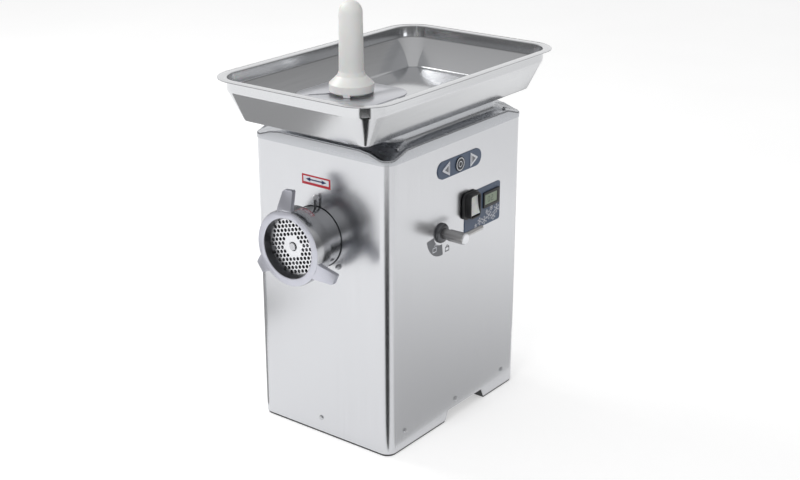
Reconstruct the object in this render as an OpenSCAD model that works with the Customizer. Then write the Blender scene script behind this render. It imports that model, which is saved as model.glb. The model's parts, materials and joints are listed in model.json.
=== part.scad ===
// Refrigerated bench mincer. Z is up and the bench is at z = 0. The mincing head
// faces -Y, the controls are on the +X side, and the origin is the centre of the base.

/* [Casing] */
// Width of the steel casing along X
body_w = 284; // [240:1:340]
// Depth of the steel casing along Y
body_d = 382; // [350:1:460]
// Height of the steel casing
body_h = 505; // [480:1:600]
// Radius of the casing's upright corners
corner_r = 18; // [8:1:30]
// Thickness of the casing sheet
sheet_t = 1.5; // [1:0.1:2.5]
// Height of the base frame that shows under the casing
base_gap = 4; // [3:0.5:8]
// Height of the cover's edge band
cover_band = 20; // [12:1:28]
// Height of the cover's raised pad above its band
pad_h = 19; // [14:1:30]

/* [Carrying notches] */
// Length of a notch at its lower edge
notch_len = 122; // [90:1:140]
// Height of a notch
notch_h = 16.5; // [12:0.5:24]
// Distance of the notch centre behind the casing centre
notch_y = 29.5; // [0:0.5:40]
// Depth of the finger space behind a notch
notch_in = 26; // [20:1:34]

/* [Tray] */
// Width of the tray over its rim, along X
tray_w = 344; // [300:1:400]
// Length of the tray over its rim, along Y
tray_l = 544; // [460:1:600]
// Depth of the tray from rim to underside
tray_depth = 73; // [50:1:90]
// Width of the tray's turned-out rim
tray_rim = 15; // [8:0.5:20]
// Height of the upright band under the rim
tray_band = 21; // [12:1:30]
// Inward lean of the sloping wall
tray_lean = 26; // [10:1:27]
// Corner radius of the upright band
tray_r = 42; // [32:1:60]
// Thickness of the tray sheet
tray_t = 1.2; // [0.8:0.1:2]

/* [Feed] */
// Inner radius of the feed spout
throat_r = 35.5; // [33:0.5:38]
// Distance of the feed axis behind the front panel
throat_back = 93; // [85:1:110]
// Clearance between spout and chute
spout_gap = 0.5; // [0.3:0.1:1]
// Width of the guard plate
guard_w = 154; // [130:1:170]
// Length of the guard plate
guard_l = 146; // [120:1:160]
// Corner radius of the guard plate
guard_r = 38; // [20:1:50]
// Clear height under the guard plate
guard_lift = 34.5; // [24:0.5:40]
// Thickness of the guard plate
guard_t = 2; // [1.5:0.1:3]
// Radius of the hole in the guard plate
guard_hole_r = 27.5; // [27:0.1:30]

/* [Pestle] */
// Radius of the pestle's grip
grip_r = 20.5; // [16:0.5:24]
// Radius of the pestle's flange
flange_r = 37; // [33:0.5:42]
// Height of the flange wall
flange_wall = 16; // [10:0.5:22]
// Height of the whole pestle above the guard plate
pestle_top = 152; // [130:1:180]
// Radius of the plunger below the flange
plunger_r = 26; // [22:0.5:26]
// Length of the plunger below the guard plate
plunger_len = 150; // [120:1:156]

/* [Mincing head] */
// Offset of the drive axis from the casing centre
axis_x = -6; // [-12:1:12]
// Height of the drive axis above the casing's lower edge
axis_h = 360; // [340:1:380]
// Outer radius of the head barrel
barrel_r = 51.5; // [50:0.5:56]
// Radius of the auger bore
bore_r = 41; // [38:0.5:43]
// Length of barrel in front of the panel, to the ring nut
barrel_out = 40; // [34:1:50]
// Outer radius of the ring nut
ring_r = 64; // [62:0.5:70]
// Length of the ring nut
ring_len = 34; // [30:0.5:40]
// Reach of a ring nut lug from the axis
lug_reach = 93; // [80:1:100]
// Radius of the cutting plate, size 32
plate_r = 49.25; // [48:0.25:50]
// Thickness of the cutting plate
plate_t = 10; // [8:0.5:12]
// Radius of a hole in the cutting plate
hole_r = 3; // [1.5:0.25:3.25]
// Distance between neighbouring holes
hole_pitch = 8; // [7.5:0.5:10]
// Turn of the hole pattern about the axis
plate_turn = 16; // [0:1:30]
// Pitch of the auger's flight
auger_pitch = 44; // [36:1:60]

/* [Gear motor] */
// Module of the output pair's teeth
module_out = 2; // [1.75:0.25:2]
// Module of the input pair's teeth
module_in = 1.5; // [1.25:0.25:1.5]
// Radius of the motor casing
motor_r = 66; // [56:1:68]
// Length of the motor casing
motor_len = 104; // [90:1:110]

/* [Controls] */
// Height of the keypad's centre above the casing's lower edge
keypad_h = 464.5; // [455:0.5:468]
// Length of the keypad
keypad_len = 124; // [118:1:130]
// Width of the keypad
keypad_w = 30; // [28:0.5:34]
// Travel of a keypad button
button_travel = 1; // [0.5:0.1:1.5]
// Centre of the control panel behind the casing centre
panel_y = 70; // [64:0.5:76]
// Height of the control panel's centre above the casing's lower edge
panel_h = 369.5; // [360:0.5:380]
// Length of the control panel
panel_len = 106; // [104:1:116]
// Height of the control panel
panel_tall = 70; // [66:1:74]
// Centre of the lock lever in front of the casing centre
lever_y = 49.5; // [44:0.5:54]
// Height of the lock lever above the casing's lower edge
lever_h = 357; // [350:0.5:364]
// Reach of the lock lever's knob out of the casing
lever_out = 50; // [40:1:60]
// Length of the lever's cross rod from the lever axis
rod_len = 64; // [50:1:70]

/* [Hidden] */
$fn = 64;
running = 0.05;      // radial clearance of a shaft in its bearing
easy = 0.3;          // clearance between parts that slide by hand
face_gap = 0.3;      // clearance between parts that face each other across a joint
flat_t = 0.4;        // thickness of a printed label
low = base_gap;                       // lower edge of the casing
top = base_gap + body_h;              // upper edge of the casing
half_w = body_w / 2;
half_d = body_d / 2;
front_y = -half_d;
axis_z = low + axis_h;
throat_y = front_y + throat_back;
cover_t = 4;
cover_lap = 1;                        // the cover stands this far outside the casing
pad_in = 20;                          // the pad lies this far inside the cover's sides
pad_ends = 42;                        // and this far inside its ends
pad_r = 30;
pad_top = top + cover_band + pad_h;
tray_z = pad_top + 0.1;               // underside of the tray
rim_z = tray_z + tray_depth;
floor_z = tray_z + tray_t;
guard_top = floor_z + guard_lift + guard_t;
spout_t = 1.5;
spout_out_r = throat_r + spout_t;
chute_r = spout_out_r + spout_gap;    // bore of the chute in the cold housing
chute_wall = 8;
chute_out_r = chute_r + chute_wall;
chute_top = top + 16;
spout_low = top - 20;
feet_h = 4;                           // stand-offs under the pestle flange
flange_low = guard_top + feet_h;
panel_z = low + panel_h;
keypad_z = low + keypad_h;
lever_z = low + lever_h;
screw_z = low + 31;
side_screws = [-148, -1, 145];        // places of the side screws along Y
// head, measured forwards from the front panel
ring_front = barrel_out + ring_len;
lip_depth = 14;
plate_front = ring_front - lip_depth;
plate_back = plate_front - plate_t;
knife_t = 13;
chamber_back = plate_back - knife_t - 3;
bell_r = ring_r - 6;                  // threaded bell inside the ring nut
head_back = -150;
head_wall = 12;
journal_r = 20;
housing_r = barrel_r + easy;
housing_wall = 10;
housing_out_r = housing_r + housing_wall;
housing_back = head_back - 1;
panel_hole_r = barrel_r + 1.6;
stud_r = 8;
socket = 22;                          // square drive of the auger
// gear train, measured from the drive axis downwards
teeth_out = 45;
teeth_lay = 14;
teeth_wheel = 44;
teeth_motor = 14;
lay_z = axis_z - module_out * (teeth_out + teeth_lay) / 2;
motor_z = lay_z - module_in * (teeth_wheel + teeth_motor) / 2;
gear_t = 14;
case_front = housing_back - 0.1;
case_len = 70;
case_back = case_front - case_len;
case_wall = 7;
case_w = 118;
case_up = 62;
case_down = 34;
case_low = motor_z - case_down;
shaft_r = 15;
lay_r = 8.5;
motor_shaft_r = 7;
bearing_t = 9;
out_gear_at = case_front - case_wall - bearing_t - 5;
in_gear_at = out_gear_at - gear_t - 3;
lid_t = 6;
motor_front = case_back - lid_t;
motor_back = motor_front - motor_len;
cowl_len = 22;
shelf_t = 3;
shelf_z = motor_z - motor_r - 10;     // top of the shelf that carries the gear motor
post = 16;
base_floor = low + 2;                 // upper face of the base frame's floor
comp_r = 56;
comp_y = -104;
comp_top = 146;
cond_y = 162;
cond_w = 170;
cond_h = 140;
cond_t = 24;
fan_y = 128;
fan_r = 58;
coil_r = chute_out_r + 4.1;
coil_tube = 3;
coil_low = axis_z + housing_out_r + 12;
coil_turns = 5;
coil_rise = 11;

// ---- shapes used by several parts ----

// rectangle with round corners, centred
module round_rect(w, l, r) {
    square([w - 2 * r, l], center = true);
    square([w, l - 2 * r], center = true);
    for (x = [-1, 1], y = [-1, 1])
        translate([x * (w / 2 - r), y * (l / 2 - r)])
            circle(r);
}

module round_block(w, l, r, z0, z1) {
    translate([0, 0, z0])
        linear_extrude(z1 - z0)
            round_rect(w, l, r);
}

// local z runs forwards out of the front panel, and local x and y are X and Z
module on_axis(x = axis_x, z = axis_z) {
    translate([x, front_y, z])
        rotate([90, 0, 0])
            children();
}

module disc(r, z0, z1) {
    translate([0, 0, z0])
        cylinder(h = z1 - z0, r = r);
}

module ring(r_out, r_in, z0, z1) {
    difference() {
        disc(r_out, z0, z1);
        disc(r_in, z0 - 1, z1 + 1);
    }
}

// local z runs out of the +X side of the casing, local x is Y and local y is Z
module on_side(y, z) {
    translate([half_w, y, z])
        rotate([90, 0, 90])
            children();
}

// a profile of [outward, height] points swept round a rectangle with corner radius r
module swept_rim(w, l, r, points) {
    for (s = [0, 180])
        rotate(s) {
            translate([w / 2, l / 2 - r, 0])
                rotate([90, 0, 0])
                    linear_extrude(l - 2 * r)
                        polygon(points);
            translate([r - w / 2, l / 2, 0])
                rotate([90, 0, 90])
                    linear_extrude(w - 2 * r)
                        polygon(points);
        }
    for (x = [-1, 1], y = [-1, 1])
        translate([x * (w / 2 - r), y * (l / 2 - r), 0])
            rotate(y > 0 ? (x > 0 ? 0 : 90) : (x > 0 ? -90 : 180))
                rotate_extrude(angle = 90)
                    polygon([for (p = points) [p[0] + r, p[1]]]);
}

// tube along a list of points, with ball corners
module bent_tube(points, r) {
    $fn = 12;
    for (i = [0 : len(points) - 2]) {
        run = points[i + 1] - points[i];
        length = norm(run);
        translate(points[i])
            rotate([0, acos(run[2] / length), atan2(run[1], run[0])])
                cylinder(h = length, r = r);
    }
    for (i = [1 : len(points) - 2])
        translate(points[i])
            sphere(r + 0.3);
}

// involute spur gear outline with a tooth centred on the x axis
function flank(base, roll) = [base * (cos(roll) + roll * PI / 180 * sin(roll)),
    base * (sin(roll) - roll * PI / 180 * cos(roll))];
function turned(p, a) = [p[0] * cos(a) - p[1] * sin(a), p[0] * sin(a) + p[1] * cos(a)];
function gear_points(teeth, m) = let (
        pitch = teeth * m / 2,
        base = pitch * cos(20),
        tip = pitch + 0.9 * m,
        root = pitch - 1.25 * m,
        play = 0.06 / pitch * 180 / PI,
        half = 90 / teeth + (tan(20) * 180 / PI - 20) - play,
        last = sqrt(pow(tip / base, 2) - 1) * 180 / PI,
        side = [for (k = [0 : 3]) turned(flank(base, last * k / 3), -half)],
        foot = turned([root, 0], -half))
    [for (i = [0 : teeth - 1]) each [for (p = concat([foot], side,
        [for (k = [3 : -1 : 0]) [side[k][0], -side[k][1]]], [[foot[0], -foot[1]]]))
        turned(p, 360 / teeth * i)]];

module gear(teeth, m, bore, z0, z1, turn) {
    difference() {
        translate([0, 0, z0])
            rotate(turn)
                linear_extrude(z1 - z0)
                    polygon(gear_points(teeth, m));
        disc(bore, z0 - 1, z1 + 1);
    }
}

module button_head(r, h) {
    rotate_extrude()
        polygon([[0, 0], [r, 0], [r * 0.93, h * 0.45], [r * 0.7, h * 0.85], [r * 0.35, h], [0, h]]);
}

// ---- casing ----

module notch_cut(side, extra) {
    x0 = side > 0 ? half_w - notch_in - extra : -half_w - 5;
    translate([x0, notch_y, 0])
        rotate([90, 0, 90])
            linear_extrude(notch_in + extra + 5)
                polygon([[-notch_len / 2 - extra, -1], [notch_len / 2 + extra, -1],
                    [notch_len / 2 - 10 + extra, low + notch_h + extra],
                    [-notch_len / 2 + 10 - extra, low + notch_h + extra]]);
}

module base_frame() {
    wall = 2;
    inset = sheet_t + easy;
    color("#1c1d1f")
        difference() {
            union() {
                round_block(body_w - 2 * inset, body_d - 2 * inset, corner_r - inset, 0, base_floor);
                difference() {
                    round_block(body_w - 2 * inset, body_d - 2 * inset, corner_r - inset, 0, low + 40);
                    round_block(body_w - 2 * inset - 2 * wall, body_d - 2 * inset - 2 * wall,
                        corner_r - inset - wall, base_floor, low + 41);
                }
                intersection() {
                    round_block(body_w - 2 * inset, body_d - 2 * inset, corner_r - inset, 0, low + 40);
                    for (s = [-1, 1])
                        notch_cut(s, wall);
                }
            }
            for (s = [-1, 1])
                notch_cut(s, 0);
            for (x = [-1, 1], y = [-1, 1])
                translate([x * (half_w - 34), y * (half_d - 34), -1])
                    cylinder(h = 4, r = 18 + 0.1);
            screw_holes();
        }
}

module feet() {
    color("#2a2a2c")
        for (x = [-1, 1], y = [-1, 1])
            translate([x * (half_w - 34), y * (half_d - 34), 0])
                rotate_extrude()
                    polygon([[6, 0], [18, 0], [18, 3], [6, 3]]);
}

module screw_holes() {
    for (y = side_screws, s = [-1, 1])
        translate([s * half_w, y, screw_z])
            rotate([0, 90, 0])
                translate([0, 0, -12])
                    cylinder(h = 24, r = 2.6);
    translate([axis_x, front_y, screw_z - 5])
        rotate([90, 0, 0])
            disc(2.6, -12, 12);
    for (x = [-100, 100])
        translate([x, half_d, screw_z - 5])
            rotate([90, 0, 0])
                disc(2.6, -12, 12);
}

module body_shell() {
    color("#cfd1d3")
        difference() {
            round_block(body_w, body_d, corner_r, low, top);
            round_block(body_w - 2 * sheet_t, body_d - 2 * sheet_t, corner_r - sheet_t, low - 1, top + 1);
            // opening behind the rear panel
            translate([-half_w + corner_r + 14, half_d - 10, low + 46])
                cube([body_w - 2 * corner_r - 28, 20, body_h - 80]);
            on_axis()
                disc(panel_hole_r, -10, 10);
            for (s = [-1, 1])
                notch_cut(s, 0);
            screw_holes();
            on_axis()
                stud_places()
                    disc(2.6, -10, 10);
            on_side(-lever_y, lever_z)
                disc(13, -10, 10);
            button_shafts(easy);
            thermometer_cut(easy);
            switch_cut(easy);
        }
}

module stud_places() {
    for (a = [-45, -135])
        rotate(a)
            translate([panel_hole_r + 9, 0, 0])
                children();
}

rear_w = body_w - 24;
rear_low = low + 20;
rear_high = top - 14;
vent_rows = 14;
gland_x = 90;
gland_z = low + 60;
rear_screws = [[-rear_w / 2 + 8, rear_high - 10], [rear_w / 2 - 8, rear_high - 10]];

module rear_panel() {
    color("#c6c8ca")
        difference() {
            translate([-rear_w / 2, half_d + 0.05, rear_low])
                cube([rear_w, sheet_t, rear_high - rear_low]);
            for (i = [0 : vent_rows - 1], s = [-1, 1])
                translate([s * 50, half_d + 5, low + 78 + i * 13])
                    rotate([90, 0, 0])
                        linear_extrude(10)
                            round_rect(74, 5, 2.4);
            for (p = rear_screws)
                translate([p[0], half_d + 5, p[1]])
                    rotate([90, 0, 0])
                        cylinder(h = 10, r = 2.6);
            screw_holes();
            translate([gland_x, half_d + 5, gland_z])
                rotate([90, 0, 0])
                    cylinder(h = 10, r = 8.2);
        }
}

cover_w = body_w + 2 * cover_lap;
cover_d = body_d + 2 * cover_lap;
cover_screw = [half_w - 12, half_d - 40];

module top_cover() {
    color("#b9bbbe")
        difference() {
            union() {
                round_block(cover_w, cover_d, corner_r + cover_lap, top, top + cover_band - 2);
                round_block(cover_w - 4, cover_d - 4, corner_r - 1, top + cover_band - 2, top + cover_band);
                round_block(cover_w - 2 * pad_in, cover_d - 2 * pad_ends, pad_r, top, pad_top);
            }
            round_block(cover_w - 2 * cover_t, cover_d - 2 * cover_t, corner_r + cover_lap - cover_t,
                top - 1, top + cover_band - cover_t);
            round_block(cover_w - 2 * pad_in - 2 * cover_t, cover_d - 2 * pad_ends - 2 * cover_t,
                pad_r - cover_t, top - 1, pad_top - cover_t);
            translate([axis_x, throat_y, top])
                cylinder(h = 60, r = chute_r + 1);
            for (x = [-1, 1], y = [-1, 1])
                translate([x * cover_screw[0], y * cover_screw[1], top])
                    cylinder(h = 60, r = 2.1);
        }
}

// ---- tray and feed ----

tray_in_w = tray_w - 2 * tray_rim;
tray_in_l = tray_l - 2 * tray_rim;

module tray() {
    fold_z = rim_z - tray_band;
    color("#c9cbcc")
        difference() {
            union() {
                swept_rim(tray_in_w, tray_in_l, tray_r, [
                    [tray_rim, rim_z - 1.2], [tray_rim, rim_z - 0.4], [tray_rim - 0.5, rim_z],
                    [-0.6, rim_z], [-tray_t, rim_z - 0.6], [-tray_t, fold_z],
                    [-tray_lean - tray_t + 1, floor_z], [-tray_lean - 1, floor_z],
                    [-tray_lean - 1, tray_z], [-tray_lean + 0.4, tray_z],
                    [0, fold_z], [0, rim_z - tray_t], [tray_rim - 1, rim_z - tray_t]]);
                round_block(tray_in_w - 2 * tray_lean - 1.6, tray_in_l - 2 * tray_lean - 1.6,
                    tray_r - tray_lean - 0.8, tray_z, floor_z);
            }
            translate([axis_x, throat_y, tray_z - 5])
                cylinder(h = 20, r = throat_r);
        }
}

module tray_spout() {
    color("#c4c6c8")
        translate([axis_x, throat_y, 0])
            ring(spout_out_r, throat_r, spout_low, tray_z - 0.02);
}

leg_places = [for (x = [-1, 1], y = [-1, 1]) [x * (guard_w / 2 - 13), y * (guard_l / 2 - 22)]];

module guard_plate() {
    leg_t = 3;
    color("#c3c4c9")
        translate([axis_x, throat_y, 0]) {
            for (p = leg_places)
                translate([p[0] - leg_t / 2, p[1] - 7, floor_z])
                    cube([leg_t, 14, guard_lift + 1]);
            difference() {
                round_block(guard_w, guard_l, guard_r, guard_top - guard_t, guard_top);
                disc(guard_hole_r, guard_top - 5, guard_top + 5);
                rotate(-133)
                    translate([0, 0, guard_top - 5])
                        linear_extrude(10)
                            polygon([[guard_hole_r - 3, -4.2], [70, -1.6], [70, 1.6],
                                [guard_hole_r - 3, 4.2]]);
            }
        }
}

module pestle() {
    cone_h = 14;
    body_top = guard_top + pestle_top;
    color("#f1f1ee")
        translate([axis_x, throat_y, 0]) {
            rotate_extrude()
                difference() {
                    union() {
                        polygon([[0, guard_top - plunger_len], [plunger_r - 3, guard_top - plunger_len],
                            [plunger_r, guard_top - plunger_len + 3], [plunger_r, flange_low],
                            [flange_r - 1, flange_low], [flange_r, flange_low + 1],
                            [flange_r, flange_low + flange_wall - 3],
                            [flange_r - 3, flange_low + flange_wall],
                            [grip_r + 3, flange_low + flange_wall + cone_h - 4],
                            [grip_r, flange_low + flange_wall + cone_h + 3],
                            [grip_r - 1, body_top - grip_r + 1], [0, body_top - grip_r + 1]]);
                        translate([0, body_top - grip_r + 1])
                            circle(grip_r - 1);
                    }
                    translate([-200, guard_top - 200])
                        square([200, 600]);
                }
            for (a = [-64, 56, 176])
                rotate(a)
                    translate([plunger_r + 2, -5.5, guard_top + face_gap])
                        cube([flange_r - plunger_r - 3, 11, feet_h - face_gap + 1]);
        }
}

// ---- cold housing ----

module cold_housing() {
    color("#a9abae")
        difference() {
            union() {
                on_axis()
                    disc(housing_out_r, housing_back, -sheet_t - easy);
                // foot that bolts to the gear case
                on_axis()
                    translate([0, 0, housing_back])
                        linear_extrude(12)
                            round_rect(case_w, 2 * case_up, 10);
            }
            on_axis()
                disc(housing_r, housing_back - 5, 20);
            translate([axis_x, throat_y, axis_z])
                cylinder(h = 400, r = chute_out_r + running);
        }
}

// tube that lines the hole in the top of the cold housing
module feed_chute() {
    color("#b3b5b8")
        difference() {
            translate([axis_x, throat_y, 0])
                ring(chute_out_r, chute_r, axis_z + 10, chute_top);
            on_axis()
                disc(housing_r, housing_back - 5, 20);
        }
}

// foam seal under the cover's edge, and the lip seal round the spout
module seals() {
    color("#3a3b3d")
        difference() {
            round_block(body_w - 2 * sheet_t - 1, body_d - 2 * sheet_t - 1, corner_r - sheet_t - 0.5,
                top - 4, top - 0.1);
            round_block(body_w - 2 * sheet_t - 9, body_d - 2 * sheet_t - 9, corner_r - sheet_t - 4.5,
                top - 5, top + 1);
        }
    color("#3a3b3d")
        translate([axis_x, throat_y, 0])
            ring(chute_r + 0.8, spout_out_r + 0.08, chute_top + 0.1, chute_top + 4);
}

module insulation() {
    color("#d9d3bd")
        translate([axis_x, throat_y, 0])
            difference() {
                ring(coil_r + coil_tube + 7, coil_r + coil_tube + 0.4, coil_low - 6, top - 6);
                translate([0, -6, coil_low + coil_turns * coil_rise - 6])
                    cube([100, 12, 100]);
            }
}

// points of the coil's centre line, then its skin as rings of eight
coil_steps = 24;
function coil_point(i) = let (a = 360 * i / coil_steps) [coil_r * cos(a), coil_r * sin(a),
    coil_low + coil_rise * i / coil_steps];
module evaporator_coil() {
    last = coil_steps * coil_turns;
    skin = [for (i = [0 : last]) let (c = coil_point(i), a = 360 * i / coil_steps)
        each [for (k = [0 : 7]) c + coil_tube * [cos(a) * cos(45 * k), sin(a) * cos(45 * k),
            sin(45 * k)]]];
    sides = [for (i = [0 : last - 1], k = [0 : 7]) [8 * i + k, 8 * i + (k + 1) % 8,
        8 * (i + 1) + (k + 1) % 8, 8 * (i + 1) + k]];
    color("#b87345")
        translate([axis_x, throat_y, 0])
            polyhedron(skin, concat(sides, [[for (k = [7 : -1 : 0]) k],
                [for (k = [0 : 7]) 8 * last + k]]));
}

// ---- mincing head ----

module head_barrel() {
    color("#a7a9ab")
        difference() {
            on_axis()
                rotate_extrude()
                    polygon([[journal_r + running, head_back], [barrel_r - 2, head_back],
                        [barrel_r, head_back + 2], [barrel_r, barrel_out + 1], [bell_r, barrel_out + 1],
                        [bell_r, plate_front - 1], [bell_r - 1, plate_front],
                        [plate_r + easy, plate_front], [plate_r + easy, chamber_back],
                        [bore_r, chamber_back - 8], [bore_r, head_back + head_wall],
                        [journal_r + running, head_back + head_wall]]);
            translate([axis_x, throat_y, axis_z])
                cylinder(h = 100, r = throat_r);
            on_axis()
                rotate(88)
                    translate([barrel_r - 7, 0, 6])
                        rotate([0, 90, 0])
                            cylinder(h = 10, r = 2.2);
            on_axis()
                translate([0, plate_r - 2, plate_back])
                    cylinder(h = 30, r = 2.6);
        }
}

module index_pin() {
    color("#4b4c4f")
        on_axis()
            rotate(88)
                translate([0, 0, 6])
                    rotate([0, 90, 0])
                        rotate_extrude()
                            polygon([[0, barrel_r - 6.5], [2.15, barrel_r - 6.5],
                                [2.15, barrel_r + 14], [3.4, barrel_r + 15.6],
                                [4, barrel_r + 18], [3.4, barrel_r + 20.4], [2, barrel_r + 21.8],
                                [0, barrel_r + 22.2]]);
}

module ring_nut() {
    base_half = 15;
    tip_half = 10;
    lug_t = 8;
    sweep_back = 15;
    color("#b9bbc1")
        on_axis() {
            rotate_extrude()
                polygon([[bell_r + easy, barrel_out + 1], [ring_r - 1.5, barrel_out],
                    [ring_r, barrel_out + 1.5], [ring_r, ring_front - 3],
                    [ring_r - 0.9, ring_front - 0.9], [ring_r - 3, ring_front],
                    [ring_r - 12.5, ring_front], [ring_r - 13.5, ring_front - 0.7],
                    [plate_r - 1.75, plate_front + 2], [plate_r - 1.75, plate_front + face_gap],
                    [bell_r + easy, plate_front + face_gap]]);
            for (a = [95.5, -24.5, -144.5])
                rotate(a)
                    lug(base_half, tip_half, lug_t, sweep_back);
        }
}

// one swept-back lug, drawn along local x
module lug(base_half, tip_half, lug_t, sweep_back) {
    root = ring_r - 3;
    intersection() {
        translate([0, 0, ring_front - sweep_back - lug_t])
            linear_extrude(sweep_back + lug_t)
                polygon([[root, -base_half], [lug_reach - 2, -tip_half - 0.5],
                    [lug_reach, -tip_half + 1.5], [lug_reach, tip_half - 1.5],
                    [lug_reach - 2, tip_half + 0.5], [root, base_half]]);
        rotate([90, 0, 0])
            translate([0, 0, -base_half - 5])
                linear_extrude(2 * base_half + 10)
                    polygon([[root, ring_front - 1 - lug_t], [root, ring_front - 1],
                        [ring_r + 2, ring_front - 1.5], [lug_reach, ring_front - sweep_back],
                        [lug_reach, ring_front - sweep_back - lug_t],
                        [ring_r + 2, ring_front - 2 - lug_t]]);
    }
}

hole_limit = plate_r - 4.5;
hub_hex = 2;         // rings of holes left out round the hub
function hex_far(i, j) = max(abs(i), abs(j), abs(i + j));
hole_places = [for (i = [-6 : 6], j = [-6 : 6])
    let (p = hole_pitch * [i + j / 2, j * sin(60)])
    if (hex_far(i, j) > hub_hex && norm(p) <= hole_limit) p];

module cutting_plate() {
    color("#dcdde0")
        on_axis()
            difference() {
                disc(plate_r, plate_back, plate_front);
                disc(stud_r + running, plate_back - 1, plate_front + 1);
                rotate(plate_turn)
                    for (p = hole_places)
                        translate([p[0], p[1], plate_back - 1])
                            cylinder(h = plate_t + 2, r = hole_r);
                translate([0, plate_r - 2, plate_back - 1])
                    cylinder(h = plate_t + 2, r = 2.7);
            }
}

module plate_key() {
    color("#8d8f92")
        on_axis()
            translate([0, plate_r - 2, plate_back + 0.2])
                cylinder(h = plate_t - 1, r = 2.5);
}

module knife() {
    color("#9a9c9f")
        on_axis()
            difference() {
                union() {
                    disc(16, plate_back - knife_t, plate_back - face_gap);
                    for (a = [0, 90, 180, 270])
                        rotate(a + 20)
                            translate([0, -9, plate_back - knife_t + 2])
                                cube([plate_r - 4, 9, knife_t - 2 - face_gap]);
                }
                translate([-8.6, -8.6, plate_back - knife_t - 1])
                    cube([17.2, 17.2, knife_t + 2]);
            }
}

// the flight is a four-sided strip wound round the core
flight_steps = 20;
flight_end = chamber_back - 4;
flight_start = head_back + head_wall + 4;
core_r = 19;
function flight_ring(a, z) = [[core_r - 4, z - 6], [bore_r - 0.6, z - 2.5],
    [bore_r - 0.6, z + 2.5], [core_r - 4, z + 6]];
module auger() {
    turns = (flight_end - flight_start - 12) / auger_pitch;
    count = floor(turns * flight_steps);
    skin = [for (i = [0 : count]) let (a = -360 * i / flight_steps,
        z = flight_start + 6 + auger_pitch * i / flight_steps)
        each [for (p = flight_ring(a, z)) [p[0] * cos(a), p[0] * sin(a), p[1]]]];
    sides = [for (i = [0 : count - 1], k = [0 : 3]) [4 * i + k, 4 * (i + 1) + k,
        4 * (i + 1) + (k + 1) % 4, 4 * i + (k + 1) % 4]];
    color("#96989b")
        on_axis()
            difference() {
                union() {
                    polyhedron(skin, concat(sides, [[0, 1, 2, 3],
                        [for (k = [3 : -1 : 0]) 4 * count + k]]));
                    disc(core_r, flight_start - 3, chamber_back - 1);
                    disc(journal_r, head_back, flight_start - 3);
                }
                translate([-socket / 2 - easy, -socket / 2 - easy, head_back - 1])
                    cube([socket + 2 * easy, socket + 2 * easy, 30]);
                disc(7.1, chamber_back - 30, chamber_back);
            }
}

module auger_stud() {
    color("#e4e6e8")
        on_axis() {
            disc(7, chamber_back - 29, chamber_back - 0.8);
            translate([-8.4, -8.4, chamber_back - 0.8])
                cube([16.8, 16.8, plate_back - chamber_back + 0.8 - face_gap]);
            disc(stud_r, plate_back - face_gap, plate_front - 3.5);
            disc(stud_r - 1.2, plate_front - 3.5, plate_front + 1.4);
            translate([0, 0, plate_front + 1.4])
                cylinder(h = 0.8, r1 = stud_r - 1.2, r2 = stud_r - 2);
        }
}

// ---- gear motor ----

module output_shaft() {
    color("#8f9194")
        on_axis() {
            translate([-socket / 2, -socket / 2, case_front])
                cube([socket, socket, head_back - case_front + 24]);
            disc(shaft_r, case_back + case_wall - 2, case_front);
        }
}

module output_gear() {
    color("#7f8285")
        on_axis()
            gear(teeth_out, module_out, shaft_r + 0.02, out_gear_at - gear_t, out_gear_at,
                -90 + 180 / teeth_out);
}

module shaft_seal() {
    color("#5a3326")
        on_axis()
            ring(journal_r + 6, shaft_r + running, case_front - case_wall + 0.1, case_front - 1);
}

module bearing(r_out, r_in, z0) {
    difference() {
        ring(r_out, r_in, z0, z0 + bearing_t);
        ring(r_out - 3, r_in + 3, z0 - 1, z0 + 1);
        ring(r_out - 3, r_in + 3, z0 + bearing_t - 1, z0 + bearing_t + 1);
    }
}

module shaft_bearings() {
    front_at = case_front - case_wall - bearing_t - 0.1;
    back_at = case_back + case_wall + 0.1;
    color("#babcbf") {
        on_axis() {
            bearing(shaft_r + 12, shaft_r + running, front_at);
            bearing(shaft_r + 12, shaft_r + running, back_at - 2);
        }
        on_axis(axis_x, lay_z) {
            bearing(lay_r + 9, lay_r + running, front_at);
            bearing(lay_r + 9, lay_r + running, back_at - 2);
        }
        on_axis(axis_x, motor_z) {
            bearing(motor_shaft_r + 8, motor_shaft_r + running, motor_front - bearing_t - 6);
            bearing(motor_shaft_r + 8, motor_shaft_r + running, motor_back + 8);
        }
    }
}

module case_block(grow, z0, z1) {
    translate([axis_x, 0, 0])
        rotate([90, 0, 0])
            translate([0, (case_low + axis_z + case_up) / 2, -front_y + z0])
                linear_extrude(z1 - z0)
                    round_rect(case_w + 2 * grow, axis_z + case_up - case_low + 2 * grow, 10 + grow);
}

module gear_case() {
    color("#6e7174")
        difference() {
            union() {
                case_block(0, case_back, case_front);
                for (s = [-1, 1])
                    translate([axis_x + s * 44 - 12, front_y - case_front, shelf_z])
                        cube([24, case_len, case_low - shelf_z + 12]);
            }
            case_block(-case_wall, case_back - 1, case_front - case_wall);
            on_axis()
                disc(journal_r + 6.1, case_front - case_wall - 1, case_front + 5);
        }
    color("#6e7174")
        difference() {
            union() {
                on_axis()
                    disc(shaft_r + 18, case_front - case_wall - bearing_t - 3, case_front - case_wall);
                on_axis(axis_x, lay_z)
                    disc(lay_r + 14, case_front - case_wall - bearing_t - 3, case_front - case_wall);
            }
            on_axis()
                disc(shaft_r + 12.08, case_back, case_front);
            on_axis(axis_x, lay_z)
                disc(lay_r + 9.08, case_back, case_front - case_wall - 0.05);
        }
}

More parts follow.
